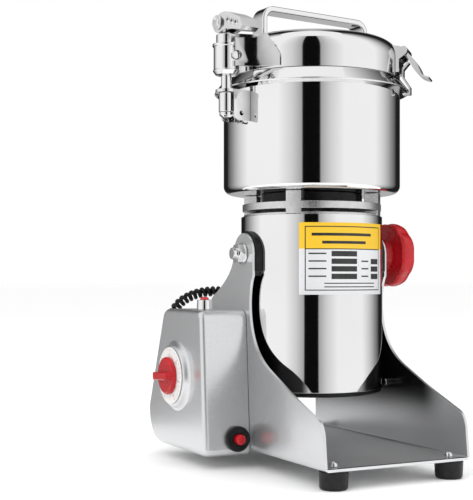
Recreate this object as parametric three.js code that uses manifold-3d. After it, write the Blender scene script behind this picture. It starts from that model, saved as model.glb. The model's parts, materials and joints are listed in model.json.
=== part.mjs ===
// Tilting high-speed grain mill: a bladed bowl on an upright motor, hung on trunnions in a tray-shaped
// cradle. Millimetres, +Z up, front (the tray's open end) towards -Y. Sizes below are measured from the
// motor axis at X = Y = 0 and from the floor at Z = 0; the finished group is centred on its own box.
import * as THREE from 'three';
import { mergeVertices } from 'three/addons/utils/BufferGeometryUtils.js';
import Module from 'manifold-3d';

const wasm = await Module();
wasm.setup();

// ---------- driving dimensions ----------
const GAP = 0.3;
const ROUND = 32;
const SMALL_ROUND = 16;
const HOUSING_ROUND = 48;
const BOWL_ROUND = 36;

const CRADLE_HALF_WIDTH = 70;
const SHEET = 2.5;
const TRAY_FRONT = -139;
const TRAY_REAR = 106;
const TRAY_BOTTOM = 15;
const PIVOT_Z = 187.5;
const EAR_RADIUS = 18;
const FOOT_PLACES = { front: -129, rear: 86 };
const FOOT_X = 56;

const HOUSING_RADIUS = 64;
const HOUSING_BOTTOM = 67;
const HOUSING_TOP = 221;
const WALL = 2;
const NECK_RADIUS = 63;
const NECK_HUB_RADIUS = 46;
const BOWL_BOTTOM = 241.8;
const BOWL_RADIUS = 80;
const BOWL_CORNER = 7;
const RIM_TOP = 344;
const RIM_RADIUS = 88.5;
const RIM_DROP = 11;
const LID_TOP = 379;
const LID_CORNER = 18;
const HANDLE_TOP = 406;
const SHAFT_RADIUS = 6;

const HINGE_ANGLE = THREE.MathUtils.degToRad(191.6);
const LATCH_ANGLE = THREE.MathUtils.degToRad(-45);
const HANDLE_ANGLE = THREE.MathUtils.degToRad(6);
const POST_DISTANCE = 98;
const POST_RADIUS = 4.2;
const CAM_Z = 383.5;

const BOX_OUTER_X = -114;
const BOX_TOP = 137.6;
const DIAL = { y: 46, z: 78 };
const BREAKER = { x: -83, z: 26.4 };
const LAMP = { x: -99, y: 18 };
const BOX_FRONT = -14;
const INLET = { x: -92, z: 52 };
const BOX_GLAND = { x: -92, y: 92, z: 100 };
const MOTOR_GLAND = { x: -22, z: 150 };
const STOP_PIN = { y: -30, z: 71 };
const LATCH_PIN = { r: 86.2, z: 366 };
const LATCH_FLANGE = 3.2;

/** A maker of one finish, so that every mesh owns its own material. */
const finish = (color, roughness, metalness) => () =>
  new THREE.MeshStandardMaterial({ color, roughness, metalness });
const steel = finish(0xd9dadb, 0.12, 1);
const painted = finish(0xc4c6c8, 0.4, 0.6);
const castAluminium = finish(0xc8c9c9, 0.3, 0.9);
const redPlastic = finish(0xc4161c, 0.25, 0);
const blackPlastic = finish(0x141414, 0.45, 0);
const blackRubber = finish(0x1c1c1c, 0.8, 0);
const whitePrint = finish(0xf2f2ee, 0.4, 0);
const silicone = finish(0xe6e3dc, 0.6, 0);
const copper = finish(0xa8632c, 0.4, 0.8);
const darkIron = finish(0x5a5c5e, 0.5, 0.9);

// ---------- solids ----------
/** Signed volume of an indexed triangle list, to tell which way its faces point. */
function signedVolume(vertices, corners) {
  const [a, b, c] = [new THREE.Vector3(), new THREE.Vector3(), new THREE.Vector3()];
  let total = 0;
  for (let i = 0; i < corners.length; i += 3) {
    a.fromArray(vertices, corners[i] * 3);
    b.fromArray(vertices, corners[i + 1] * 3);
    c.fromArray(vertices, corners[i + 2] * 3);
    total += a.dot(b.cross(c));
  }
  return total / 6;
}

/** A manifold solid from a closed geometry, with shared corners merged and faces pointing out. */
function solid(geometry) {
  const bare = geometry.clone();
  bare.deleteAttribute('normal');
  bare.deleteAttribute('uv');
  const merged = mergeVertices(bare, 1e-4);
  const vertices = merged.attributes.position.array;
  const index = merged.index.array;
  const corners = [];
  for (let i = 0; i < index.length; i += 3) {
    const [a, b, c] = [index[i], index[i + 1], index[i + 2]];
    if (a !== b && b !== c && c !== a) corners.push(a, b, c);
  }
  if (signedVolume(vertices, corners) < 0) corners.reverse();
  return new wasm.Manifold(new wasm.Mesh({
    numProp: 3,
    vertProperties: new Float32Array(vertices),
    triVerts: new Uint32Array(corners),
  }));
}

/** A three.js geometry from a manifold solid. */
function geometryOf(body) {
  const mesh = body.getMesh();
  const geometry = new THREE.BufferGeometry();
  geometry.setAttribute('position', new THREE.BufferAttribute(new Float32Array(mesh.vertProperties), 3));
  geometry.setIndex(new THREE.BufferAttribute(new Uint32Array(mesh.triVerts), 1));
  geometry.computeVertexNormals();
  return geometry;
}

const join = (first, ...others) => geometryOf(others.reduce((body, g) => body.add(solid(g)), solid(first)));
const cut = (first, ...tools) => geometryOf(tools.reduce((body, g) => body.subtract(solid(g)), solid(first)));
const common = (first, second) => geometryOf(solid(first).intersect(solid(second)));

/** A solid of revolution about +Z from [radius, z] points; off the axis it closes on its first point. */
function lathe(points, segments = ROUND) {
  const profile = points.map(([radius, z]) => new THREE.Vector2(radius, z));
  const onAxis = points[0][0] === 0 && points[points.length - 1][0] === 0;
  if (!onAxis) profile.push(profile[0].clone());
  return new THREE.LatheGeometry(profile, segments).rotateX(Math.PI / 2);
}

const disc = (radius, z0, z1, segments = SMALL_ROUND) =>
  lathe([[0, z0], [radius, z0], [radius, z1], [0, z1]], segments);
const ring = (inner, outer, z0, z1, segments = ROUND) =>
  lathe([[inner, z0], [outer, z0], [outer, z1], [inner, z1]], segments);

/** Turns a solid made about +Z to lie along +X or +Y, and moves it. */
const alongX = (geometry, y, z) => geometry.rotateY(Math.PI / 2).translate(0, y, z);
const alongY = (geometry, x, z) => geometry.rotateX(-Math.PI / 2).translate(x, 0, z);

function block(x0, x1, y0, y1, z0, z1) {
  const geometry = new THREE.BoxGeometry(x1 - x0, y1 - y0, z1 - z0);
  return geometry.translate((x0 + x1) / 2, (y0 + y1) / 2, (z0 + z1) / 2);
}

function outline(points) {
  const shape = new THREE.Shape();
  shape.moveTo(...points[0]);
  points.slice(1).forEach((point) => shape.lineTo(...point));
  shape.closePath();
  return shape;
}

/** A flat outline (x, y) raised from z0 to z1. */
function slab(shape, z0, z1, curveSegments = 8) {
  const settings = { depth: z1 - z0, bevelEnabled: false, curveSegments };
  return new THREE.ExtrudeGeometry(shape, settings).translate(0, 0, z0);
}

/** An outline drawn in (y, z), raised along +X from x0 to x1. */
function slabAcross(shape, x0, x1, curveSegments = 8) {
  const turn = new THREE.Matrix4().makeBasis(
    new THREE.Vector3(0, 1, 0), new THREE.Vector3(0, 0, 1), new THREE.Vector3(1, 0, 0));
  return slab(shape, x0, x1, curveSegments).applyMatrix4(turn);
}

/** An outline drawn in (x, z), raised along +Y from y0 to y1. */
function slabForward(shape, y0, y1, curveSegments = 8) {
  const turn = new THREE.Matrix4().makeBasis(
    new THREE.Vector3(1, 0, 0), new THREE.Vector3(0, 0, 1), new THREE.Vector3(0, -1, 0));
  return slab(shape, -y1, -y0, curveSegments).applyMatrix4(turn);
}

/** Points of a circular arc about (cx, cy), angles in degrees, both ends included. */
function arc(cx, cy, radius, from, to, steps) {
  return Array.from({ length: steps + 1 }, (_, i) => {
    const angle = THREE.MathUtils.degToRad(from + ((to - from) * i) / steps);
    return [cx + radius * Math.cos(angle), cy + radius * Math.sin(angle)];
  });
}

const hexagon = (acrossFlats, z0, z1) => disc(acrossFlats / Math.sqrt(3), z0, z1, 6);

const mill = new THREE.Group();
const hingeSide = new THREE.Group();
hingeSide.rotation.z = HINGE_ANGLE;
const latchSide = new THREE.Group();
latchSide.rotation.z = LATCH_ANGLE;
mill.add(hingeSide, latchSide);

function add(name, geometry, material, group = mill) {
  const mesh = new THREE.Mesh(geometryOf(solid(geometry)), material());
  mesh.name = name;
  group.add(mesh);
}

// ---------- cradle and feet ----------
/** Side view of one cheek of the cradle, drawn in (y, z). */
function cheekShape() {
  const shape = new THREE.Shape();
  shape.moveTo(TRAY_FRONT, 0);
  shape.lineTo(TRAY_FRONT, TRAY_BOTTOM + 3);
  shape.lineTo(-136.5, 41);
  shape.quadraticCurveTo(-135, 53, -126, 56);
  shape.lineTo(-84, 72);
  shape.lineTo(-48, 88);
  shape.quadraticCurveTo(-13, 104, -12, 143);
  shape.quadraticCurveTo(-12.5, 160, -EAR_RADIUS, 168);
  shape.lineTo(-EAR_RADIUS, PIVOT_Z);
  shape.absarc(0, PIVOT_Z, EAR_RADIUS, Math.PI, 0, true);
  shape.quadraticCurveTo(EAR_RADIUS + 2, 168, 60, 150);
  shape.quadraticCurveTo(82, 138, TRAY_REAR, TRAY_BOTTOM + 30);
  shape.lineTo(TRAY_REAR, 0);
  shape.closePath();
  return shape;
}

/** Front view of the bent sheet, a U drawn in (x, z). */
function channelShape() {
  const [bend, w, top] = [4, CRADLE_HALF_WIDTH, PIVOT_Z + 40];
  const inner = w - SHEET;
  return outline([
    [-w, top], ...arc(bend - w, TRAY_BOTTOM + bend, bend, 180, 270, 3),
    ...arc(w - bend, TRAY_BOTTOM + bend, bend, 270, 360, 3), [w, top], [inner, top],
    ...arc(w - bend, TRAY_BOTTOM + bend, bend - SHEET, 360, 270, 3),
    ...arc(bend - w, TRAY_BOTTOM + bend, bend - SHEET, 270, 180, 3), [-inner, top],
  ]);
}

function makeCradle() {
  const channel = slabForward(channelShape(), TRAY_FRONT, TRAY_REAR);
  const cheeks = slabAcross(cheekShape(), -CRADLE_HALF_WIDTH - 1, CRADLE_HALF_WIDTH + 1, 5);
  const pivotHole = alongX(disc(6.4, -80, 80), 0, PIVOT_Z);
  const pinHole = alongX(disc(2.8, -80, 80, 12), STOP_PIN.y, STOP_PIN.z);
  const wiring = alongX(disc(8, -80, -60, 16), 40, 60);
  const footHoles = footPlaces().map(({ x, y }) => disc(2.5, 10, 20, 12).translate(x, y, 0));
  add('cradle', cut(common(channel, cheeks), pivotHole, pinHole, wiring, ...footHoles), painted);
}

function makeStopPins() {
  const pin = () => join(disc(3.6, 59, 67.2), disc(2.5, 67.2, 69.8, 12));
  add('stop_pin_right', alongX(pin(), STOP_PIN.y, STOP_PIN.z), steel);
  add('stop_pin_left', alongX(pin().rotateX(Math.PI), STOP_PIN.y, STOP_PIN.z), steel);
}

function footPlaces() {
  const places = [];
  for (const [end, y] of Object.entries(FOOT_PLACES)) {
    for (const [side, x] of [['left', -FOOT_X], ['right', FOOT_X]]) {
      places.push({ name: `${end}_${side}`, x, y });
    }
  }
  return places;
}

function makeFeet() {
  const top = TRAY_BOTTOM - GAP;
  for (const { name, x, y } of footPlaces()) {
    const foot = lathe([
      [0, 0], [10.5, 0], [11.4, 1.2], [12, top], [2.5, top], [2.5, 5], [0, 5],
    ], SMALL_ROUND);
    const floor = TRAY_BOTTOM + SHEET + GAP;
    const screw = lathe([
      [0, 6], [2.1, 6], [2.1, floor], [3.6, floor], [3.3, floor + 2.2], [2.4, floor + 3.4], [0, floor + 3.6],
    ], SMALL_ROUND);
    add(`foot_${name}`, foot.translate(x, y, 0), blackRubber);
    add(`foot_screw_${name}`, screw.translate(x, y, 0), steel);
  }
}

// ---------- pivots ----------
/** Left pivot: a hex nut and washer on a stud that passes through the cheek into the saddle. */
function makePivotBolt() {
  const [face, hex] = [CRADLE_HALF_WIDTH + GAP, 15.6];
  const parts = [disc(6, 60, face + 1), disc(9.6, face, face + 1.4, SMALL_ROUND)];
  parts.push(hexagon(hex, face + 1.2, face + 7), disc(5.2, face + 6.8, face + 11));
  add('pivot_bolt', alongX(join(...parts).rotateX(Math.PI), 0, PIVOT_Z), steel);
}

/** Right pivot: a stud turned by the large locking knob. */
function makeLockKnob() {
  const face = CRADLE_HALF_WIDTH + GAP;
  add('lock_stud', alongX(join(disc(6, 60, 80), disc(9.5, face, face + 2)), 0, PIVOT_Z), steel);
  const profile = [
    [6.3, 73], [12, 73], [13, 80], [24, 82], [28.6, 80.5], [30.5, 83], [30.5, 88], [28, 95],
    [23, 97.4], [0, 98.5], [0, 80.5], [6.3, 80.5],
  ];
  const knob = lathe(profile, 24);
  const scallops = Array.from({ length: 8 }, (_, i) => {
    const angle = (i * Math.PI) / 4;
    return disc(10, 70, 100, 10).translate(38.6 * Math.cos(angle), 38.6 * Math.sin(angle), 0);
  });
  add('lock_knob', alongX(cut(knob, ...scallops), 0, PIVOT_Z), redPlastic);
}

/** Saddles fill the space between the round motor housing and the flat cheeks. */
function makeSaddles() {
  const shape = new THREE.Shape();
  shape.moveTo(-20, PIVOT_Z - 15);
  shape.lineTo(-20, PIVOT_Z);
  shape.absarc(0, PIVOT_Z, 20, Math.PI, 0, true);
  shape.lineTo(20, PIVOT_Z - 15);
  shape.lineTo(15, PIVOT_Z - 20);
  shape.lineTo(-15, PIVOT_Z - 20);
  shape.closePath();
  const inner = CRADLE_HALF_WIDTH - SHEET - GAP;
  const clearHousing = disc(HOUSING_RADIUS + GAP, 140, 230, HOUSING_ROUND);
  const bore = alongX(disc(6.4, -90, 90), 0, PIVOT_Z);
  for (const [side, x0, x1] of [['left', -inner, -50], ['right', 50, inner]]) {
    add(`saddle_${side}`, cut(slabAcross(shape, x0, x1, 10), clearHousing, bore), blackPlastic);
  }
}

// ---------- motor ----------
function makeMotorHousing() {
  const tube = ring(HOUSING_RADIUS - WALL, HOUSING_RADIUS, HOUSING_BOTTOM, HOUSING_TOP, HOUSING_ROUND);
  const bore = alongX(disc(6.4, -90, 90), 0, PIVOT_Z);
  const glandHole = alongY(disc(5, 50, 80, 16), MOTOR_GLAND.x, MOTOR_GLAND.z);
  add('motor_housing', cut(tube, bore, glandHole), steel);
}

function makeMotorEndCap() {
  const lip = HOUSING_RADIUS - WALL - GAP;
  const cap = lathe([
    [5.4, 62], [14, 61], [60, 63], [HOUSING_RADIUS - 0.5, 64.5], [HOUSING_RADIUS - 0.5, HOUSING_BOTTOM - GAP],
    [lip, HOUSING_BOTTOM - GAP], [lip, 78], [lip - 2, 78], [lip - 2, 68], [14.2, 66], [14.2, 77], [5.4, 64],
  ], 24);
  const slots = Array.from({ length: 8 }, (_, i) =>
    block(24, 52, -3, 3, 50, 75).rotateZ((i * Math.PI) / 4));
  const bearingSeat = disc(13.3, 67, 90, 24);
  add('motor_end_cap', cut(cap, bearingSeat, ...slots), blackPlastic);
}

function makeBearings() {
  add('lower_bearing', ring(5.3, 13, 67.3, 76, 16), steel);
  add('upper_bearing', ring(SHAFT_RADIUS + GAP, 15, 224, 234, 16), steel);
}

function makeStator() {
  const profile = [[33, 108], [37, 108], [37, 96], [54, 96], [54, 108], [58, 108], [58, 168], [54, 168],
    [54, 180], [37, 180], [37, 168], [33, 168]];
  add('stator', lathe(profile, 16), copper);
}

function makeBrushYoke() {
  const arms = [block(13.7, 30, -4, 4, 82.5, 93), block(-30, -13.7, -4, 4, 82.5, 93)];
  add('brush_yoke', join(ring(20, 34, 80, 83, 24), ...arms), blackPlastic);
}

/** Neck between motor and bowl: a spigot, four posts, a middle ring and the wide hub under the bowl. */
function makeNeckCasting() {
  const spigot = ring(57, HOUSING_RADIUS - WALL - GAP, 212, HOUSING_TOP + 2, HOUSING_ROUND);
  const middle = ring(15.3, NECK_RADIUS, 226, 232.3, 32);
  const hub = lathe([
    [15.3, 226.5], [NECK_HUB_RADIUS, 226.5], [NECK_HUB_RADIUS, BOWL_BOTTOM - GAP], [14, BOWL_BOTTOM - GAP],
    [14, 237.5], [7, 237.5], [7, 234.3], [15.3, 234.3],
  ], ROUND);
  const posts = Array.from({ length: 4 }, (_, i) => {
    const post = block(50, 70, -6.75, 6.75, HOUSING_TOP + GAP, BOWL_BOTTOM - GAP);
    return common(post.rotateZ(Math.PI / 4 + (i * Math.PI) / 2), disc(NECK_RADIUS, 200, 260, ROUND));
  });
  add('neck_casting', join(spigot, middle, hub, ...posts), castAluminium);
}

function makeRotor() {
  const shaft = lathe([
    [0, 66], [5, 66], [5, 79], [SHAFT_RADIUS, 79], [SHAFT_RADIUS, 252], [5, 252], [5, 296], [0, 296],
  ], SMALL_ROUND);
  add('rotor_shaft', shaft, steel);
  const bore = SHAFT_RADIUS + GAP;
  add('armature', lathe([
    [bore, 82], [13, 82], [13, 98], [20, 100], [28, 104], [31.5, 108],
    [31.5, 168], [28, 172], [20, 176], [bore, 176],
  ], 16), darkIron);
  const hub = ring(bore, 14, 186, 200, 16);
  const back = ring(13, 50, 186, 188, 24);
  const vanes = Array.from({ length: 7 }, (_, i) =>
    block(13.5, 48, -1, 1, 187.5, 199).rotateZ((i * 2 * Math.PI) / 7));
  add('cooling_fan', join(hub, back, ...vanes), blackPlastic);
  makeBlades();
}

/** Blunt beater bars crossed on the shaft, clamped by a nut above a spacer. */
function makeBlades() {
  const bar = (reach, width, z, tipRise, hubFrom, hubTo) => {
    const flat = block(-reach, reach, -width / 2, width / 2, z, z + 3);
    const tips = [-1, 1].map((side) =>
      block(-2.5, 2.5, -width / 2, width / 2, z, z + tipRise).translate(side * (reach - 2.5), 0, 0));
    return cut(join(flat, ...tips, disc(11, hubFrom, hubTo)), disc(5.2, hubFrom - 1, hubTo + 1));
  };
  add('lower_blade', bar(68, 20, 257, 12, 252.3, 262), steel);
  add('upper_blade', bar(58, 18, 270, 9, 262.3, 277.7).rotateZ(Math.PI / 2), steel);
  add('blade_nut', cut(join(hexagon(17, 278, 290), disc(7, 289, 299)), disc(5.2, 270, 296.5)), steel);
}

// ---------- bowl ----------
function makeBowl() {
  const inner = BOWL_RADIUS - WALL;
  const foot = BOWL_RADIUS - BOWL_CORNER;
  const edge = RIM_TOP - RIM_DROP;
  const profile = [
    [13, BOWL_BOTTOM], ...arc(foot, BOWL_BOTTOM + BOWL_CORNER, BOWL_CORNER, -90, 0, 3),
    [BOWL_RADIUS, RIM_TOP - 2.2], [RIM_RADIUS - 1.2, edge - 1], [RIM_RADIUS, edge], [BOWL_RADIUS, RIM_TOP],
    [inner, RIM_TOP], ...arc(foot, BOWL_BOTTOM + BOWL_CORNER, BOWL_CORNER - WALL, 0, -90, 2),
    [13, BOWL_BOTTOM + WALL],
  ];
  add('bowl', lathe(profile, BOWL_ROUND), steel);
}

function makeShaftSeal() {
  const profile = [
    [SHAFT_RADIUS + GAP, 238.5], [12.7, 238.5],
    [12.7, BOWL_BOTTOM + WALL + GAP], [17, BOWL_BOTTOM + WALL + GAP],
    [15, 250], [SHAFT_RADIUS + GAP, 250],
  ];
  add('shaft_seal', lathe(profile, 16), blackRubber);
}

/** Folded channel on the bowl wall that holds the hinge post: two cheeks below a lug. */
function makeBowlBracket() {
  const clearBowl = disc(BOWL_RADIUS + GAP, 280, 340, 72);
  const cheek = new THREE.Shape();
  cheek.moveTo(70, 301);
  cheek.lineTo(92, 301);
  cheek.quadraticCurveTo(97, 301, 97, 307);
  cheek.lineTo(97, 326);
  cheek.lineTo(70, 326);
  cheek.closePath();
  const lug = outline([[70, -9.5], ...arc(POST_DISTANCE, 0, 9.5, -90, 90, 8), [70, 9.5]]);
  const cheeks = [-9.5, 7.5].map((y) => slabForward(cheek, y, y + 2, 4));
  const rivet = alongY(disc(2.2, -20, 20, 12), 89, 307);
  const bore = disc(POST_RADIUS + 0.2, 310, 340).translate(POST_DISTANCE, 0, 0);
  const body = join(slab(lug, 324.5, 327), ...cheeks);
  add('bowl_bracket', cut(body, clearBowl, rivet, bore), steel, hingeSide);
  const sleeve = ring(POST_RADIUS + 0.2, 6.6, 308, 324.2, SMALL_ROUND).translate(POST_DISTANCE, 0, 0);
  add('lower_sleeve', sleeve, steel, hingeSide);
}

// ---------- lid hinge post and cam ----------
function makeHingePost() {
  const post = lathe([
    [0, 303.4], [3, 303.4], [6, 305], [6, 307.7], [POST_RADIUS, 307.7], [POST_RADIUS, 327.3], [4.6, 327.3],
    [4.6, 339.6], [8.4, 341], [8.4, 343], [POST_RADIUS, 343], [POST_RADIUS, CAM_Z + 5], [0, CAM_Z + 5],
  ], SMALL_ROUND);
  const pinHole = disc(2.6, -20, 20, 16).rotateY(Math.PI / 2).translate(0, 0, CAM_Z);
  add('hinge_post', cut(post, pinHole).translate(POST_DISTANCE, 0, 0), steel, hingeSide);
  const pin = join(disc(2.3, -9.4, 10, 16), disc(6, 9.3, 11, SMALL_ROUND));
  add('cam_pin', pin.rotateY(Math.PI / 2).translate(POST_DISTANCE, 0, CAM_Z), steel, hingeSide);
  const spring = ring(5, 8.2, 343.3, 361.2, SMALL_ROUND).translate(POST_DISTANCE, 0, 0);
  add('lid_spring', spring, darkIron, hingeSide);
}

/** Cam lever: two eccentric cheeks that straddle the post and a dimpled arm. */
function makeCamLever() {
  const [radius, offset, reach] = [7.4, -1.3, 33];
  const side = new THREE.Shape();
  side.absarc(0, CAM_Z + offset, radius, Math.PI, 1.5 * Math.PI, false);
  side.lineTo(9, CAM_Z - 6.5);
  side.lineTo(reach - 4, CAM_Z - 10.5);
  side.lineTo(reach, CAM_Z - 8);
  side.lineTo(reach - 4, CAM_Z);
  side.lineTo(15, CAM_Z + 6.5);
  side.quadraticCurveTo(0, CAM_Z + 12, -radius, CAM_Z + offset + 1);
  side.closePath();
  const body = slabAcross(side, -8.8, 8.8, 5);
  const slot = block(-4.6, 4.6, -20, 9.5, CAM_Z - 20, CAM_Z + 20);
  const bore = disc(2.6, -20, 20, 16).rotateY(Math.PI / 2).translate(0, 0, CAM_Z);
  const lever = cut(body, slot, bore);
  add('cam_lever', lever.translate(POST_DISTANCE, 0, 0), steel, hingeSide);
}

// ---------- lid ----------
function makeLidShell() {
  const shoulder = LID_TOP - LID_CORNER;
  const flat = BOWL_RADIUS - LID_CORNER;
  const start = RIM_TOP + GAP;
  const profile = [
    [0, LID_TOP - WALL], ...arc(flat, shoulder, LID_CORNER - WALL, 90, 0, 3), [BOWL_RADIUS - WALL, start],
    [BOWL_RADIUS, start], ...arc(flat, shoulder, LID_CORNER, 0, 90, 4), [0, LID_TOP],
  ];
  add('lid_shell', lathe(profile, BOWL_ROUND), steel);
  add('lid_gasket', ring(74, BOWL_RADIUS - WALL - GAP, start, start + 5, BOWL_ROUND), silicone);
}

function makeLidHandle() {
  const [reach, thick, bend, width] = [59, 5, 12, 18];
  const foot = LID_TOP + GAP;
  const strap = outline([
    [-reach, foot], ...arc(bend - reach, HANDLE_TOP - bend, bend, 180, 90, 5),
    ...arc(reach - bend, HANDLE_TOP - bend, bend, 90, 0, 5), [reach, foot], [reach - thick, foot],
    ...arc(reach - bend, HANDLE_TOP - bend, bend - thick, 0, 90, 4),
    ...arc(bend - reach, HANDLE_TOP - bend, bend - thick, 90, 180, 4), [thick - reach, foot],
  ]);
  add('lid_handle', slabForward(strap, -width / 2, width / 2).rotateZ(HANDLE_ANGLE), steel);
}

/** Bent leaf and hood that tie the lid wall to the spring sleeve. */
function makeHingeLeaf() {
  const plan = outline([
    [71.5, 39.5], [84.6, 20.6], [99, 13.6], [POST_DISTANCE, 11.3], [84, 17.5], [69.6, 38.3],
  ]);
  const roofPlan = outline([[70, 36], [84.5, 19.5], [97, 13], [92, 8], [92, -8], [60, -8], [60, 30]]);
  const keep = slabForward(outline([[71, 345], [69.5, 350], [78, 374], [130, 374], [130, 345]]), -30, 60);
  const leaf = common(slab(plan, 346, 373), keep);
  const roof = slab(roofPlan, 371, 373);
  const roofEdge = slabForward(outline([[80, 370], [83, 374], [130, 374], [130, 370]]), -40, 60);
  const lidBody = lathe([
    [0, 340], [BOWL_RADIUS + GAP, 340], ...arc(62, 361, LID_CORNER + GAP, 0, 90, 9), [0, LID_TOP + GAP],
  ], 72);
  const sleeve = disc(11 + GAP, 330, 400, 48).translate(POST_DISTANCE, 0, 0);
  const topCap = disc(12 + GAP, 362, 400, 48).translate(POST_DISTANCE, 0, 0);
  const screwRoom = disc(4.2, -30, 0).rotateX(Math.PI / 2).translate(POST_DISTANCE, 0, 355);
  const whole = join(leaf, common(roof, roofEdge));
  add('hinge_leaf', cut(whole, lidBody, sleeve, topCap, screwRoom), steel, hingeSide);
}

function makeSpringSleeve() {
  const bore = POST_RADIUS + 0.25;
  const sleeve = lathe([
    [9, 339.6], [9.4, 339.6], [11.8, 343], [11, 344], [11, 363.4], [12, 363.8], [12, 366], [bore, 366],
    [bore, 363], [9, 363],
  ], 20);
  const screwHole = disc(1.6, -30, 0, 12).rotateX(Math.PI / 2);
  const drilled = cut(sleeve, screwHole.translate(0, 0, 355));
  add('spring_sleeve', drilled.translate(POST_DISTANCE, 0, 0), steel, hingeSide);
  const collar = ring(bore, 8.8, 366.3, 374, SMALL_ROUND).translate(POST_DISTANCE, 0, 0);
  add('pressure_collar', collar, steel, hingeSide);
  const screw = join(disc(1.4, 9.6, 12, 12), hexagon(6, 11.4, 13.4)).rotateX(-Math.PI / 2);
  add('sleeve_set_screw', screw.translate(POST_DISTANCE, 0, 355), steel, hingeSide);
}

// ---------- lid latch ----------
/** S-shaped run of the latch strap, drawn as (radius, z). */
function latchLine() {
  return new THREE.SplineCurve([
    new THREE.Vector2(LATCH_PIN.r, LATCH_PIN.z), new THREE.Vector2(89.5, 360), new THREE.Vector2(93, 352.5),
    new THREE.Vector2(97, 346.5), new THREE.Vector2(102, 342), new THREE.Vector2(108, 340.2),
  ]);
}

function makeLatch() {
  const line = latchLine().getPoints(9);
  const thick = 1.6;
  const normals = line.map((point, i) => {
    const ahead = line[Math.min(i + 1, line.length - 1)].clone().sub(line[Math.max(i - 1, 0)]).normalize();
    return new THREE.Vector2(-ahead.y, ahead.x);
  });
  const raised = line.map((point, i) => point.clone().addScaledVector(normals[i], thick));
  const strap = outline([...line, ...raised.reverse()].map((point) => [point.x, point.y]));
  const web = line.map((point, i) => {
    const swell = Math.sin((Math.PI * Math.min(i, 8)) / 8) ** 2;
    return point.clone().addScaledVector(normals[i], thick + LATCH_FLANGE * swell);
  });
  const flange = outline([...line, ...web.reverse()].map((point) => [point.x, point.y]));
  const eye = disc(3.6, -9, 9, 16).rotateX(Math.PI / 2).translate(LATCH_PIN.r, 0, LATCH_PIN.z);
  const bore = disc(1.9, -20, 20, 12).rotateX(Math.PI / 2).translate(LATCH_PIN.r, 0, LATCH_PIN.z);
  const flanges = [-10, 8.6].map((y) => slabForward(flange, y, y + 1.4));
  add('latch_lever', cut(join(slabForward(strap, -10, 10), ...flanges, eye), bore), steel, latchSide);
  const hook = outline([
    [88.6, 357.8], [90.3, 356.2], [84.9, 350], [84.9, 344], [91, 334.5], [91, 328], [84, 328], [84, 329.6],
    [89.4, 329.6], [89.4, 334], [83.3, 343.6], [83.3, 351.4],
  ]);
  add('latch_hook', slabForward(hook, -4, 4), steel, latchSide);
  makeLatchBracket();
}

/** Plate on the lid wall with two ears and the pin that the latch lever turns on. */
function makeLatchBracket() {
  const inner = lathe([
    [0, 340], [BOWL_RADIUS + GAP, 340], ...arc(62, 361, LID_CORNER + GAP, 0, 90, 9), [0, LID_TOP + GAP],
  ], 72);
  const plate = block(74, 82.3, -12.4, 12.4, 347, 370);
  const ear = outline([
    [76, 358], [82, 358], [88.8, 363], ...arc(LATCH_PIN.r, LATCH_PIN.z, 3.6, -30, 120, 5), [76, 371],
  ]);
  const ears = [-12.4, 10.8].map((y) => slabForward(ear, y, y + 1.6));
  const pin = disc(1.6, -12, 12, 12).rotateX(Math.PI / 2).translate(LATCH_PIN.r, 0, LATCH_PIN.z);
  add('latch_bracket', cut(join(plate, ...ears, pin), inner), steel, latchSide);
}

// ---------- control box ----------
/** Side view of the control box, drawn in (y, z), shrunk by inset. */
function boxShape(inset = 0) {
  const shape = new THREE.Shape();
  const [bottom, top] = [12 + inset, BOX_TOP - inset];
  shape.moveTo(-11 + inset, bottom);
  shape.lineTo(84, bottom);
  shape.quadraticCurveTo(112 - inset, bottom, 113 - inset, 45);
  shape.lineTo(78 - inset, top - 4);
  shape.quadraticCurveTo(77 - inset, top, 72 - inset, top);
  shape.lineTo(-2 + inset, top);
  shape.quadraticCurveTo(-6 + inset, top, -6.5 + inset, top - 5);
  shape.lineTo(-14 + inset, bottom + 4);
  shape.quadraticCurveTo(-14 + inset, bottom, -11 + inset, bottom);
  return shape;
}

function makeControlBox() {
  const open = -CRADLE_HALF_WIDTH - GAP;
  const shell = slabAcross(boxShape(), BOX_OUTER_X + 2, open, 4);
  const face = slabAcross(boxShape(2), BOX_OUTER_X, open - 1, 4);
  const hollow = slabAcross(boxShape(2.6), BOX_OUTER_X + 3, open + 1, 4);
  const dialBoss = lathe([[0, 0], [31, 0], [27, 6], [0, 6]], 28).rotateY(-Math.PI / 2);
  dialBoss.translate(BOX_OUTER_X + 0.5, DIAL.y, DIAL.z);
  const holes = [
    alongX(disc(5.2, -130, -100), DIAL.y, DIAL.z),
    alongY(disc(8.2, -30, 0), BREAKER.x, BREAKER.z),
    disc(5.2, 130, 145).translate(LAMP.x, LAMP.y, 0),
    block(INLET.x - 10.3, INLET.x + 10.3, 80, 130, INLET.z - 12.3, INLET.z + 12.3),
    alongY(disc(4.6, 70, 110), BOX_GLAND.x, BOX_GLAND.z),
  ];
  add('control_box_cover', cut(join(shell, face, dialBoss), hollow, ...holes), painted);
}

function makeTimer() {
  const face = BOX_OUTER_X - 5.5 - GAP;
  const across = (geometry) => geometry.rotateY(-Math.PI / 2).translate(0, DIAL.y, DIAL.z);
  add('dial_plate', across(ring(5.4, 25.5, -face, -face + 1.2, 28)), whitePrint);
  add('timer_body', across(cut(
    join(block(-16, 16, -16, 16, 80, 104), disc(4.8, 103, 111)), disc(3.5, 90, 130))), blackPlastic);
  const start = -face + 1.5;
  const cap = lathe([[0, start], [17, start], [17, start + 3], [15.5, start + 4.6], [0, start + 4.6]], 24);
  const grip = block(-3.6, 3.6, -16, 16, start + 4, start + 10.5);
  const spindle = disc(3.2, 96, start + 1, 16);
  add('timer_knob', across(join(cap, grip.rotateZ(0.06), spindle)), redPlastic);
}

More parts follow.
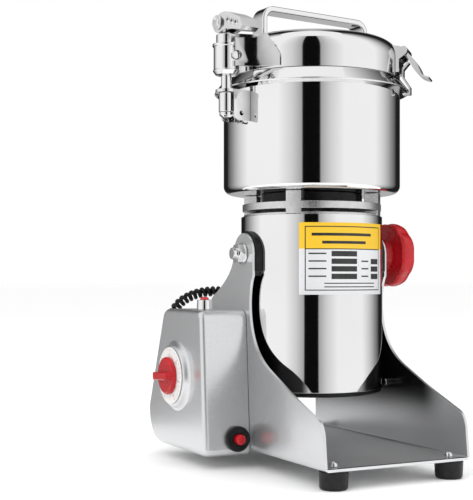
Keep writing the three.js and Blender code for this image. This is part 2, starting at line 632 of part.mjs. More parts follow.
function makeBreaker() {
  const front = BOX_FRONT;
  const body = cut(
    join(disc(8, front - 1, front + 24), disc(11.2, front - 4, front - GAP, 24)),
    disc(4.9, front - 10, front + 12));
  const tilted = alongY(body, BREAKER.x, BREAKER.z);
  add('breaker_body', tilted, blackPlastic);
  const button = lathe([
    [0, front - 10], [3.6, front - 10], [4.5, front - 9], [4.5, front + 6], [0, front + 6],
  ], 20);
  add('reset_button', alongY(button, BREAKER.x, BREAKER.z), redPlastic);
}

function makeLamp() {
  const top = BOX_TOP + GAP;
  const bezel = lathe([
    [0, 120], [4.8, 120], [4.8, top], [6.9, top], [6.6, top + 8.6],
    [4.3, top + 8.6], [4.3, top + 3], [0, top + 3],
  ], SMALL_ROUND);
  const lens = lathe([[0, top + 3.3], [4, top + 3.3], [4, top + 9.5], [3, top + 11], [0, top + 11.6]], 20);
  add('lamp_bezel', bezel.translate(LAMP.x, LAMP.y, 0), steel);
  add('lamp_lens', lens.translate(LAMP.x, LAMP.y, 0), redPlastic);
}

function makeInlet() {
  const body = block(-10, 10, 88, 117.6, -12, 12);
  const socket = block(-7.5, 7.5, 100, 130, -9.5, 9.5);
  const pins = [[-4, 0], [4, 0], [0, 5]].map(([x, z]) => block(x - 1, x + 1, 99, 113, z - 2, z + 2));
  add('power_inlet', join(cut(body, socket), ...pins).translate(INLET.x, 0, INLET.z), blackPlastic);
}

// ---------- curly cord ----------
/** Outer envelope of the curly cord, from the gland on the control box to the gland on the motor. */
function makeCurlyCord() {
  const rear = BOX_GLAND.y + 3;
  const boxGland = lathe([
    [2.5, rear - 14], [4.3, rear - 14], [4.3, rear], [7.5, rear], [6, rear + 6], [2.5, rear + 6],
  ], SMALL_ROUND);
  add('box_gland', alongY(boxGland, BOX_GLAND.x, BOX_GLAND.z), blackRubber);
  const route = new THREE.CatmullRomCurve3([
    [-92, 101.8, 100], [-92, 104.3, 100], [-92, 110, 105], [-92, 112, 115], [-91, 112, 126], [-86, 112, 137],
    [-76, 112, 145.5], [-62, 111, 151], [-48, 106, 153], [-35, 98, 152], [-24, 86, 150.3], [-22, 79.5, 150],
    [-22, 76.7, 150],
  ].map((point) => new THREE.Vector3(...point)));
  const section = new THREE.Shape().absarc(0, 0, 5.3, 0, 2 * Math.PI, false);
  const cord = new THREE.ExtrudeGeometry(section, { extrudePath: route, steps: 24, curveSegments: 5 });
  add('curly_cord', cord, blackRubber);
  const gland = lathe([
    [2.5, 58.5], [4.7, 58.5], [4.7, 64.6], [7.5, 64.6], [6.2, 76], [2.5, 76],
  ], SMALL_ROUND);
  add('motor_gland', alongY(gland, MOTOR_GLAND.x, MOTOR_GLAND.z), blackRubber);
}

// ---------- label ----------
function makeRatingPlate() {
  const half = THREE.MathUtils.degToRad(40);
  const [inner, outer] = [HOUSING_RADIUS + GAP, HOUSING_RADIUS + GAP + 0.6];
  const shape = new THREE.Shape();
  shape.absarc(0, 0, outer, -Math.PI / 2 - half, -Math.PI / 2 + half, false);
  shape.absarc(0, 0, inner, -Math.PI / 2 + half, -Math.PI / 2 - half, true);
  shape.closePath();
  add('rating_plate', slab(shape, 151.6, 213.5, 16), whitePrint);
}

makeCradle();
makeStopPins();
makeFeet();
makePivotBolt();
makeLockKnob();
makeSaddles();
makeMotorHousing();
makeMotorEndCap();
makeBearings();
makeStator();
makeBrushYoke();
makeNeckCasting();
makeRotor();
makeBowl();
makeShaftSeal();
makeBowlBracket();
makeHingePost();
makeCamLever();
makeLidShell();
makeLidHandle();
makeHingeLeaf();
makeSpringSleeve();
makeLatch();
makeControlBox();
makeTimer();
makeBreaker();
makeLamp();
makeInlet();
makeCurlyCord();
makeRatingPlate();

const box = new THREE.Box3().setFromObject(mill);
mill.position.set(-(box.min.x + box.max.x) / 2, -(box.min.y + box.max.y) / 2, -box.min.z);

export default mill;
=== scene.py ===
"""Looks, studio and camera for the tilting grain mill.

Shapes are drawn in millimetres from the motor axis (X = Y = 0) and the floor (Z = 0), front towards -Y.
TO_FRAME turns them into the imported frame's metres. Every piece stands for the CAD node that it is named
after.
"""

import json
import math

import bmesh
import bpy
from mathutils import Matrix, Vector


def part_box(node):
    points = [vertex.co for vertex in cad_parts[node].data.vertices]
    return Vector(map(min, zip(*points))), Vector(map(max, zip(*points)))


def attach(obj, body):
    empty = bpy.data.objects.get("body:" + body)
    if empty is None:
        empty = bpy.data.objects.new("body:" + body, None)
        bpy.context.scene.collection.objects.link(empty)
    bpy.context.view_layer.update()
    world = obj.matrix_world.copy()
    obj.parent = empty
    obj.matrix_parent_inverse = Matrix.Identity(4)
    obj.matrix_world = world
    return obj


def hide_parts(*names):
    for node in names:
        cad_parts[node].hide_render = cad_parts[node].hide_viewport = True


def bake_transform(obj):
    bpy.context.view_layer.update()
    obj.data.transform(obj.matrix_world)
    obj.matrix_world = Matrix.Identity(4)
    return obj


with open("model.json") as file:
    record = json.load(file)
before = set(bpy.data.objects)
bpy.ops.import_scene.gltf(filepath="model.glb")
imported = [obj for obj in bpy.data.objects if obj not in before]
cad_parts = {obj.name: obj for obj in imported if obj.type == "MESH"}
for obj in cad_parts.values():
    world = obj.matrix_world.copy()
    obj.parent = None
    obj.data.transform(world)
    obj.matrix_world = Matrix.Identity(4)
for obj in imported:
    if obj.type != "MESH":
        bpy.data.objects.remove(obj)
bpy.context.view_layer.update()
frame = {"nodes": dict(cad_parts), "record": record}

# ---------- places and sizes ----------
MM = 0.001
shaft_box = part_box("rotor_shaft")
AXIS = Vector(((shaft_box[0].x + shaft_box[1].x) / 2, (shaft_box[0].y + shaft_box[1].y) / 2, 0))
TO_FRAME = Matrix.Translation(AXIS) @ Matrix.Scale(MM, 4)

CHEEK_X = 70
SHEET = 2.5
TRAY_FRONT, TRAY_REAR, TRAY_BOTTOM = -139, 106, 15
PIVOT_Z = 187.5
EAR_RADIUS = 18
HOUSING_RADIUS, HOUSING_BOTTOM, HOUSING_TOP = 64, 67, 221
WALL = 2
BOWL_RADIUS, BOWL_BOTTOM, BOWL_CORNER = 80, 241.8, 7
RIM_TOP, RIM_RADIUS, RIM_DROP = 344, 88.5, 11
LID_TOP, LID_CORNER = 379, 18
HANDLE_TOP, HANDLE_REACH, HANDLE_BEND = 406, 59, 12
POST_DISTANCE, POST_RADIUS = 98, 4.2
CAM_Z = 383.5
BOX_OUTER, BOX_TOP = -114, 137.6
DIAL_Y, DIAL_Z = 46, 78
DIAL_FACE = 119.8
BREAKER_X, BREAKER_Z, BREAKER_FRONT = -83, 26.4, -14
LAMP_X, LAMP_Y = -99, 18
INLET_X, INLET_Z = -92, 52
BOX_INNER = 70.3
# Bounds of the neck hub faces that are painted black as shade.
NECK_SHADE_EDGE, NECK_SHADE_LOW = 48, 226
# Y and Z spans over which the inner cheeks' painted shade fades in.
SHADE_Y, SHADE_Z = (-112, -76), (34, 66)
LABEL_RADIUS, LABEL_HALF, LABEL_LOW, LABEL_HIGH = 64.35, math.radians(40), 151.6, 213.5
CORD_ROUTE = [(-92, 101.8, 100), (-92, 104.3, 100), (-92, 110, 105), (-92, 112, 115), (-91, 112, 126),
              (-86, 112, 137), (-76, 112, 145.5), (-62, 111, 151), (-48, 106, 153), (-35, 98, 152),
              (-24, 86, 150.3), (-22, 79.5, 150), (-22, 76.7, 150)]
WIRE_RADIUS, COIL_RADIUS, COIL_PITCH, CORD_STEP = 1.85, 3.3, 5.2, 0.3
VIEW_AZIMUTH = 30.6

ABOUT_HINGE = Matrix.Rotation(math.radians(191.6), 4, "Z")
ABOUT_HANDLE = Matrix.Rotation(math.radians(6), 4, "Z")
AT_POST = ABOUT_HINGE @ Matrix.Translation((POST_DISTANCE, 0, 0))
ACROSS = Matrix(((0, 0, 1, 0), (1, 0, 0, 0), (0, 1, 0, 0), (0, 0, 0, 1)))
FORWARD = Matrix(((1, 0, 0, 0), (0, 0, -1, 0), (0, 1, 0, 0), (0, 0, 0, 1)))
SIDEWAYS = Matrix.Rotation(math.radians(90), 4, "Y")
LEFTWARD = Matrix.Rotation(math.radians(-90), 4, "Y")
AT_DIAL = Matrix.Translation((0, DIAL_Y, DIAL_Z)) @ LEFTWARD

RECORD = frame["record"]
BODY = {node: body for body, nodes in RECORD["behaviour"]["bodies"].items() for node in nodes}


# ---------- camera ----------
def make_camera():
    """The view from 30.6 degrees left of the front, level, with the mill right of centre."""
    camera = bpy.data.objects.new("camera", bpy.data.cameras.new("camera"))
    bpy.context.scene.collection.objects.link(camera)
    camera.location = AXIS + Vector((-0.512, -0.866, 0.165))
    heading = math.radians(26.7)
    ahead = Vector((math.sin(heading), math.cos(heading), 0))
    camera.rotation_euler = ahead.to_track_quat("-Z", "Y").to_euler()
    camera.data.sensor_width = 36
    camera.data.lens = 79.2
    camera.data.shift_y = 0.058
    camera.data.clip_start, camera.data.clip_end = 0.05, 60
    bpy.context.scene.camera = camera


# ---------- materials ----------
def new_material(name):
    material = bpy.data.materials.new(name)
    material.use_nodes = True
    tree = material.node_tree
    return material, tree, tree.nodes["Principled BSDF"]


def noise(tree, scale, stretch=(1, 1, 1), detail=3.0):
    """Noise in the piece's own metres; stretch squeezes it along an axis, for hairlines."""
    where = tree.nodes.new("ShaderNodeTexCoord")
    mapping = tree.nodes.new("ShaderNodeMapping")
    mapping.inputs["Scale"].default_value = stretch
    texture = tree.nodes.new("ShaderNodeTexNoise")
    texture.inputs["Scale"].default_value = scale
    texture.inputs["Detail"].default_value = detail
    tree.links.new(where.outputs["Object"], mapping.inputs["Vector"])
    tree.links.new(mapping.outputs["Vector"], texture.inputs["Vector"])
    return texture.outputs["Fac"]


def spread(tree, value, low, high):
    """Maps a 0.3-0.7 noise value onto low-high."""
    node = tree.nodes.new("ShaderNodeMapRange")
    node.inputs["From Min"].default_value, node.inputs["From Max"].default_value = 0.3, 0.7
    node.inputs["To Min"].default_value, node.inputs["To Max"].default_value = low, high
    tree.links.new(value, node.inputs["Value"])
    return node.outputs["Result"]


def tint(tree, value, low, high):
    """A colour that wanders between two colours."""
    node = tree.nodes.new("ShaderNodeValToRGB")
    node.color_ramp.elements[0].position, node.color_ramp.elements[1].position = 0.3, 0.7
    node.color_ramp.elements[0].color, node.color_ramp.elements[1].color = (*low, 1), (*high, 1)
    tree.links.new(value, node.inputs["Fac"])
    return node.outputs["Color"]


def bump(tree, shader, value, strength, distance):
    node = tree.nodes.new("ShaderNodeBump")
    node.inputs["Strength"].default_value = strength
    node.inputs["Distance"].default_value = distance
    tree.links.new(value, node.inputs["Height"])
    tree.links.new(node.outputs["Normal"], shader.inputs["Normal"])


def surface(name, dark, light, rough, metallic=0.0, grain=400.0, stretch=(1, 1, 1), relief=(0.0, 0.0),
            **sockets):
    """A finish whose colour, roughness and relief all wander with noise at the finish's own scale."""
    material, tree, shader = new_material(name)
    tree.links.new(tint(tree, noise(tree, grain / 8), dark, light), shader.inputs["Base Color"])
    fine = noise(tree, grain, stretch)
    tree.links.new(spread(tree, fine, *rough), shader.inputs["Roughness"])
    shader.inputs["Metallic"].default_value = metallic
    if relief[0]:
        bump(tree, shader, fine, *relief)
    for socket, value in sockets.items():
        shader.inputs[socket.replace("_", " ")].default_value = value
    return material


def grey(level):
    return (level, level, level)


STEEL = surface("polished_steel", grey(0.82), grey(0.88), (0.035, 0.07), 1.0, 60, (1, 1, 40), (0.012, 0.0002))
STEEL_SMALL = surface("polished_steel_small", grey(0.76), grey(0.86), (0.05, 0.1), 1.0, 500,
                      relief=(0.015, 0.0001))
PAINT = surface("silver_paint", (0.66, 0.665, 0.675), (0.70, 0.705, 0.715), (0.24, 0.29), 0.8, 5200,
                relief=(0.02, 0.00005), Coat_Weight=0.35, Coat_Roughness=0.1)
CAST = surface("cast_aluminium", grey(0.62), grey(0.74), (0.22, 0.4), 0.95, 900, relief=(0.12, 0.0002))
IRON = surface("motor_iron", (0.10, 0.07, 0.05), (0.28, 0.16, 0.09), (0.4, 0.6), 0.6, 500,
               (1, 1, 6), (0.3, 0.0004))
BEARING = surface("ground_steel", grey(0.45), grey(0.6), (0.2, 0.34), 1.0, 120, (1, 1, 30), (0.05, 0.0002))
BLADE = surface("blade_steel", grey(0.55), grey(0.7), (0.18, 0.32), 1.0, 160, (30, 1, 1), (0.08, 0.0002))
RED = surface("red_plastic", (0.42, 0.004, 0.008), (0.50, 0.008, 0.014), (0.2, 0.3), 0.0, 500,
              relief=(0.02, 0.0002), Specular_IOR_Level=0.35, Coat_Weight=0.15, Coat_Roughness=0.06)
LENS = surface("lamp_red", (0.45, 0.005, 0.008), (0.62, 0.01, 0.012), (0.05, 0.1), 0.0, 300, Coat_Weight=1.0)
BLACK = surface("black_plastic", grey(0.006), grey(0.012), (0.24, 0.36), 0.0, 1400, relief=(0.06, 0.0002),
                Specular_IOR_Level=0.22)
RUBBER = surface("black_rubber", grey(0.007), grey(0.014), (0.3, 0.45), 0.0, 1600, relief=(0.1, 0.0002),
                 Specular_IOR_Level=0.25)
CORD = surface("cord_jacket", grey(0.006), grey(0.012), (0.22, 0.32), 0.0, 1200, relief=(0.04, 0.0002),
               Specular_IOR_Level=0.3)
SILICONE = surface("silicone", (0.72, 0.70, 0.66), (0.80, 0.78, 0.74), (0.4, 0.55), 0.0, 500,
                   relief=(0.05, 0.0002))
WHITE = surface("white_print", (0.78, 0.78, 0.76), (0.84, 0.84, 0.82), (0.3, 0.4), 0.0, 700,
                relief=(0.03, 0.0001))
YELLOW = surface("yellow_print", (0.78, 0.47, 0.010), (0.84, 0.53, 0.016), (0.28, 0.38), 0.0, 90,
                 relief=(0.02, 0.0001))
FOIL = surface("label_white", (0.66, 0.67, 0.68), (0.74, 0.75, 0.76), (0.26, 0.36), 0.1, 90,
               relief=(0.02, 0.0001))
INK = surface("black_print", grey(0.012), grey(0.03), (0.35, 0.5), 0.0, 900)
RED_INK = surface("red_print", (0.5, 0.02, 0.02), (0.6, 0.03, 0.03), (0.35, 0.5), 0.0, 900)


def inner_paint():
    """The cheeks' inner faces: silver paint at the tray's front and floor, with a painted shade and painted
    reflection of the dark motor that turns them nearly black beside the motor.
    """
    material, tree, shader = new_material("silver_paint_inside_painted_shade")
    where, split = tree.nodes.new("ShaderNodeTexCoord"), tree.nodes.new("ShaderNodeSeparateXYZ")
    tree.links.new(where.outputs["Object"], split.inputs["Vector"])
    shares = []
    for axis, (start, end) in (("Y", SHADE_Y), ("Z", SHADE_Z)):
        offset = AXIS.y / MM if axis == "Y" else 0
        ramp = tree.nodes.new("ShaderNodeMapRange")
        ramp.interpolation_type = "SMOOTHSTEP"
        ramp.inputs["From Min"].default_value = (start + offset) * MM
        ramp.inputs["From Max"].default_value = (end + offset) * MM
        tree.links.new(split.outputs[axis], ramp.inputs["Value"])
        shares.append(ramp.outputs["Result"])
    # Their product runs from 0, plain silver, to 1, the full painted shade beside the motor.
    both, mixed = tree.nodes.new("ShaderNodeMath"), tree.nodes.new("ShaderNodeValToRGB")
    both.operation = "MULTIPLY"
    tree.links.new(shares[0], both.inputs[0])
    tree.links.new(shares[1], both.inputs[1])
    # Ramp from the silver paint to the near-black painted shade.
    silver, painted_shade = mixed.color_ramp.elements
    silver.color, painted_shade.color = (0.62, 0.625, 0.635, 1), (0.012, 0.012, 0.013, 1)
    tree.links.new(both.outputs[0], mixed.inputs["Fac"])
    tree.links.new(mixed.outputs["Color"], shader.inputs["Base Color"])
    tree.links.new(spread(tree, noise(tree, 5200), 0.26, 0.31), shader.inputs["Roughness"])
    shader.inputs["Metallic"].default_value = 0.8
    return material


# ---------- mesh making ----------
def eased(points, radius, steps=3, closed=True):
    """The outline with each corner replaced by a small arc that starts at most 0.45 of an edge away."""
    out = []
    count = len(points)
    for i, point in enumerate(points):
        here = Vector(point)
        if not closed and i in (0, count - 1):
            out.append(here)
            continue
        before, after = Vector(points[i - 1]) - here, Vector(points[(i + 1) % count]) - here
        reach = min(radius, 0.45 * before.length, 0.45 * after.length)
        if reach < 1e-4 or before.angle(after) > math.radians(165):
            out.append(here)
            continue
        start, end = here + before.normalized() * reach, here + after.normalized() * reach
        for k in range(steps + 1):
            t = k / steps
            out.append(start * (1 - t) ** 2 + here * 2 * t * (1 - t) + end * t * t)
    return [tuple(p) for p in out]


def arc(cx, cy, radius, start, end, steps=12):
    angles = [math.radians(start + (end - start) * i / steps) for i in range(steps + 1)]
    return [(cx + radius * math.cos(a), cy + radius * math.sin(a)) for a in angles]


def quadratic(a, b, c, steps=12):
    a, b, c = Vector(a), Vector(b), Vector(c)
    shares = [i / steps for i in range(1, steps + 1)]
    curve = [a * (1 - t) ** 2 + b * 2 * t * (1 - t) + c * t * t for t in shares]
    return [tuple(p) for p in curve]


def turned(profile, segments=128, closed=True, shape=None):
    """A profile of (radius, z) points swept about +Z. shape(angle, radius, z) may return another radius."""
    bm = bmesh.new()
    rings = []
    for radius, z in profile:
        if radius < 1e-6:
            rings.append([bm.verts.new((0, 0, z))])
            continue
        ring = []
        for i in range(segments):
            angle = 2 * math.pi * i / segments
            r = shape(angle, radius, z) if shape else radius
            ring.append(bm.verts.new((r * math.cos(angle), r * math.sin(angle), z)))
        rings.append(ring)
    spans = list(zip(rings, rings[1:] + rings[:1])) if closed else list(zip(rings, rings[1:]))
    for low, high in spans:
        for i in range(segments):
            j = (i + 1) % segments
            corners = [low[i % len(low)], low[j % len(low)], high[j % len(high)], high[i % len(high)]]
            corners = list(dict.fromkeys(corners))
            if len(corners) > 2:
                bm.faces.new(corners)
    bmesh.ops.recalc_face_normals(bm, faces=bm.faces)
    return bm


def on_axis(profile, radius=0.5, segments=96, shape=None):
    return turned(eased(profile, radius, closed=False), segments, closed=False, shape=shape)


def off_axis(profile, radius=0.5, segments=96):
    return turned(eased(profile, radius), segments)


def extruded(points, low, high):
    """A closed outline raised along +Z from low to high."""
    bm = bmesh.new()
    bottom = [bm.verts.new((x, y, low)) for x, y in points]
    top = [bm.verts.new((x, y, high)) for x, y in points]
    bm.faces.new(reversed(bottom))
    bm.faces.new(top)
    for i in range(len(points)):
        j = (i + 1) % len(points)
        bm.faces.new((bottom[i], bottom[j], top[j], top[i]))
    bmesh.ops.recalc_face_normals(bm, faces=bm.faces)
    return bm


def moved(bm, matrix):
    bm.transform(matrix)
    if matrix.to_3x3().determinant() < 0:
        bmesh.ops.reverse_faces(bm, faces=bm.faces)
    return bm


def merged(*meshes):
    """One bmesh out of several."""
    whole = bmesh.new()
    for bm in meshes:
        mesh = bpy.data.meshes.new("part")
        bm.to_mesh(mesh)
        whole.from_mesh(mesh)
        bpy.data.meshes.remove(mesh)
        bm.free()
    return whole


def to_object(name, bm):
    mesh = bpy.data.meshes.new(name)
    bm.to_mesh(mesh)
    bm.free()
    obj = bpy.data.objects.new(name, mesh)
    bpy.context.scene.collection.objects.link(obj)
    return obj


def boolean(first, second, operation):
    """A bmesh of first and second combined; both are used up."""
    a, b = to_object("first", first), to_object("second", second)
    modifier = a.modifiers.new("cut", "BOOLEAN")
    modifier.object, modifier.operation, modifier.solver = b, operation, "EXACT"
    result = bmesh.new()
    result.from_object(a, bpy.context.evaluated_depsgraph_get())
    for obj in (a, b):
        bpy.data.objects.remove(obj)
    bmesh.ops.dissolve_limit(result, angle_limit=math.radians(0.5), verts=result.verts, edges=result.edges)
    return result


def settle(name, bm, materials, nodes, bevel=0.0, segments=2, matrix=None, blend=None):
    """Makes the finished object of a mesh in millimetres, hides the CAD nodes that it stands for and ties it
    to the body of the first one; given blend, it is only baked in place.
    """
    nodes = [nodes] if isinstance(nodes, str) else nodes
    moved(bm, TO_FRAME @ matrix if matrix else TO_FRAME)
    obj = to_object(name, bm)
    for material in materials if isinstance(materials, (list, tuple)) else [materials]:
        obj.data.materials.append(material)
    finish(obj, bevel * MM, segments)
    if blend:
        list(blend[:2])
        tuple(blend[2])
        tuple(blend[3])
        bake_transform(obj)
    else:
        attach(obj, BODY[nodes[0]])
    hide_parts(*nodes)
    return obj


def finish(obj, width, segments=2):
    """Smooth shading, small rounded edges and normals that keep flat faces flat."""
    obj.data.shade_smooth()
    if width:
        edge = obj.modifiers.new("edges", "BEVEL")
        edge.width, edge.segments, edge.limit_method = width, segments, "ANGLE"
        edge.angle_limit = math.radians(33)
        edge.miter_outer = "MITER_ARC"
    weight = obj.modifiers.new("normals", "WEIGHTED_NORMAL")
    weight.keep_sharp = True


def refined(node, material, width=0.3, extra=None, second=None, where=None):
    """The CAD node's own shape with its flats merged, its edges rounded and a proper finish.

    Faces whose corners all pass where(point in mm) take the second material.
    """
    bm = bmesh.new()
    bm.from_mesh(frame["nodes"][node].data)
    bmesh.ops.remove_doubles(bm, verts=bm.verts, dist=2e-6)
    bmesh.ops.dissolve_limit(bm, angle_limit=math.radians(1), verts=bm.verts, edges=bm.edges)
    if extra:
        moved(extra, TO_FRAME)
        bm = merged(bm, extra)
    if where:
        to_mm = TO_FRAME.inverted()
        for face in bm.faces:
            if all(where(to_mm @ v.co) for v in face.verts):
                face.material_index = 1
    obj = to_object(node + "_piece", bm)
    obj.data.materials.append(material)
    if second:
        obj.data.materials.append(second)
    finish(obj, width * MM)
    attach(obj, BODY[node])
    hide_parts(node)
    return obj


# ---------- cradle and feet ----------
def cheek_outline():
    points = [(TRAY_FRONT, 0), (TRAY_FRONT, 18), (-136.5, 41)]
    points += quadratic((-136.5, 41), (-135, 53), (-126, 56))
    points += eased([(-126, 56), (-84, 72), (-48, 88)], 12, 5, closed=False)[1:]
    points += quadratic((-48, 88), (-13, 104), (-12, 143), 18)
    points += quadratic((-12, 143), (-12.5, 160), (-EAR_RADIUS, 168), 10) + [(-EAR_RADIUS, PIVOT_Z)]
    points += arc(0, PIVOT_Z, EAR_RADIUS, 180, 0, 32)[1:]
    points += quadratic((EAR_RADIUS, PIVOT_Z), (EAR_RADIUS + 2, 168), (60, 150), 16)
    points += quadratic((60, 150), (82, 138), (TRAY_REAR, TRAY_BOTTOM + 30), 14)
    return points + [(TRAY_REAR, 0)]


def channel_section():
    bend, top = 4, PIVOT_Z + 40
    low, inner = TRAY_BOTTOM + bend, CHEEK_X - SHEET
    outer_run = arc(bend - CHEEK_X, low, bend, 180, 270, 6) + arc(CHEEK_X - bend, low, bend, 270, 360, 6)
    inner_run = arc(CHEEK_X - bend, low, bend - SHEET, 360, 270, 6)
    inner_run += arc(bend - CHEEK_X, low, bend - SHEET, 270, 180, 6)
    return [(-CHEEK_X, top)] + outer_run + [(CHEEK_X, top), (inner, top)] + inner_run + [(-inner, top)]


def make_cradle():
    channel = moved(extruded(channel_section(), -TRAY_REAR, -TRAY_FRONT), FORWARD)
    cheeks = moved(extruded(cheek_outline(), -CHEEK_X - 1, CHEEK_X + 1), ACROSS)
    sheet = boolean(channel, cheeks, "INTERSECT")
    # Inner cheek faces take slot 1, the silver paint with painted shade beside the motor.
    for face in sheet.faces:
        if abs(face.normal.x) > 0.9 and abs(face.calc_center_median().x) < CHEEK_X - SHEET + 0.2:
            face.material_index = 1
    settle("cradle_sheet", sheet, [PAINT, inner_paint()], "cradle", bevel=0.6)


def make_feet():
    for end in ("front", "rear"):
        for side in ("left", "right"):
            node = f"foot_{end}_{side}"
            low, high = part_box(node)
            centre = Matrix.Translation(((low + high) / 2 - AXIS) / MM * Vector((1, 1, 0)))
            foot = on_axis([(0, 0), (10.2, 0), (11.4, 1.6), (12, 14.7), (0, 14.7)], 0.9, 64)
            settle(node + "_piece", foot, RUBBER, node, matrix=centre)
            floor = TRAY_BOTTOM + SHEET + 0.3
            head = [(0, 6), (2.1, 6), (2.1, floor), (3.6, floor), (3.3, floor + 2.2), (2.4, floor + 3.5),
                    (1.3, floor + 3.6), (1.2, floor + 2), (0, floor + 1.9)]
            screw = f"foot_screw_{end}_{side}"
            settle(screw + "_piece", on_axis(head, 0.5, 48), STEEL_SMALL, screw, matrix=centre)


# ---------- pivots ----------
def make_lock_knob():
    profile = [(0, 80.5), (6.3, 80.5), (6.3, 73), (12, 73), (13, 80), (24, 82), (28.6, 80.5), (30.5, 83),
               (30.5, 88), (28, 95), (23, 97.4), (0, 98.5)]

    def scalloped(angle, radius, _):
        lobe = (angle + math.pi / 8) % (math.pi / 4) - math.pi / 8
        dip = 0.5 + 0.5 * math.cos(8 * lobe)
        rim = min(1.0, max(0.0, (radius - 22) / 8))
        return radius - 1.5 * dip ** 2 * rim

    knob = on_axis(profile, 2.2, 192, scalloped)
    settle("lock_knob_piece", knob, RED, "lock_knob", matrix=Matrix.Translation((0, 0, PIVOT_Z)) @ SIDEWAYS)
    refined("lock_stud", STEEL_SMALL)
    refined("pivot_bolt", STEEL_SMALL, 0.5)


# ---------- motor, bowl and lid ----------
def make_turned_shells():
    tube = [(HOUSING_RADIUS - WALL, HOUSING_BOTTOM), (HOUSING_RADIUS, HOUSING_BOTTOM),
            (HOUSING_RADIUS, HOUSING_TOP), (HOUSING_RADIUS - WALL, HOUSING_TOP)]
    settle("motor_housing_tube", off_axis(tube, 0.6, 192), STEEL, "motor_housing")
    foot, edge = BOWL_RADIUS - BOWL_CORNER, RIM_TOP - RIM_DROP
    corner = arc(foot, BOWL_BOTTOM + BOWL_CORNER, BOWL_CORNER, -90, 0, 14)
    hollow = arc(foot, BOWL_BOTTOM + BOWL_CORNER, BOWL_CORNER - WALL, 0, -90, 10)
    rim = eased([(BOWL_RADIUS, 300), (BOWL_RADIUS, RIM_TOP - 2.2), (RIM_RADIUS - 1.2, edge - 1),
                 (RIM_RADIUS, edge), (BOWL_RADIUS, RIM_TOP), (BOWL_RADIUS - WALL, RIM_TOP),
                 (BOWL_RADIUS - WALL, 300)], 0.7, closed=False)
    profile = [(13, BOWL_BOTTOM)] + corner + rim + hollow + [(13, BOWL_BOTTOM + WALL)]
    settle("bowl_shell", turned(profile, 192), STEEL, "bowl")
    shoulder, flat, start = LID_TOP - LID_CORNER, BOWL_RADIUS - LID_CORNER, RIM_TOP + 0.3
    inside = [(0, LID_TOP - WALL)] + arc(flat, shoulder, LID_CORNER - WALL, 90, 0, 12)
    lip = eased([(BOWL_RADIUS - WALL, 352), (BOWL_RADIUS - WALL, start), (BOWL_RADIUS, start),
                 (BOWL_RADIUS, 352)], 0.7, closed=False)
    outside = arc(flat, shoulder, LID_CORNER, 0, 90, 16) + [(0, LID_TOP)]
    settle("lid_dome", turned(inside + lip + outside, 192, closed=False), STEEL, "lid_shell")


def make_handle():
    reach, bend, top, foot, thick = HANDLE_REACH, HANDLE_BEND, HANDLE_TOP, LID_TOP + 0.3, 5
    strap = [(-reach, foot)] + arc(bend - reach, top - bend, bend, 180, 90, 12)
    strap += arc(reach - bend, top - bend, bend, 90, 0, 12) + [(reach, foot), (reach - thick, foot)]
    strap += arc(reach - bend, top - bend, bend - thick, 0, 90, 12)
    strap += arc(bend - reach, top - bend, bend - thick, 90, 180, 12) + [(thick - reach, foot)]
    bm = moved(extruded(strap, -9, 9), ABOUT_HANDLE @ FORWARD)
    settle("lid_handle_strap", bm, STEEL, "lid_handle", bevel=1.7, segments=4)


def make_hinge():
    post = [(0, 303.4), (3, 303.4), (6, 305), (6, 307.7), (POST_RADIUS, 307.7), (POST_RADIUS, 327.3),
            (4.6, 327.3), (4.6, 339.6), (8.4, 341), (8.4, 343), (POST_RADIUS, 343), (POST_RADIUS, CAM_Z + 5),
            (0, CAM_Z + 5)]
    settle("hinge_post_piece", on_axis(post, 0.4, 64), STEEL, "hinge_post", matrix=AT_POST)
    bore = POST_RADIUS + 0.25
    sleeve = [(9, 339.6), (9.4, 339.6), (11.8, 343), (11, 344), (11, 363.4), (12, 363.8), (12, 366),
              (bore, 366), (bore, 363), (9, 363)]
    settle("spring_sleeve_piece", off_axis(sleeve, 0.5), STEEL, "spring_sleeve", matrix=AT_POST)
    collar = [(bore, 366.3), (8.8, 366.3), (8.8, 374), (bore, 374)]
    settle("pressure_collar_piece", off_axis(collar, 0.6), STEEL, "pressure_collar", matrix=AT_POST)
    lower = [(POST_RADIUS + 0.2, 308), (6.6, 308), (6.6, 324.2), (POST_RADIUS + 0.2, 324.2)]
    settle("lower_sleeve_piece", off_axis(lower, 0.6), STEEL, "lower_sleeve", matrix=AT_POST)
    settle("lid_spring_piece", spring_coil(), BEARING, "lid_spring", matrix=AT_POST)
    refined("bowl_bracket", STEEL_SMALL, 0.5)
    refined("hinge_leaf", STEEL_SMALL, 0.5)
    refined("sleeve_set_screw", STEEL_SMALL, 0.2)
    pin = [(0, -9.4), (2.3, -9.4), (2.3, 9.3), (6, 9.3), (6, 11), (4.6, 11), (4.2, 9.9), (3, 9.9),
           (2.7, 10.7), (0, 10.8)]
    at_pin = AT_POST @ Matrix.Translation((0, 0, CAM_Z)) @ SIDEWAYS
    settle("cam_pin_piece", on_axis(pin, 0.4, 64), STEEL_SMALL, "cam_pin", matrix=at_pin)
    # The dimples' centres take INK as a painted shade.
    refined("cam_lever", STEEL_SMALL, 0.9, dimples(), second=INK)


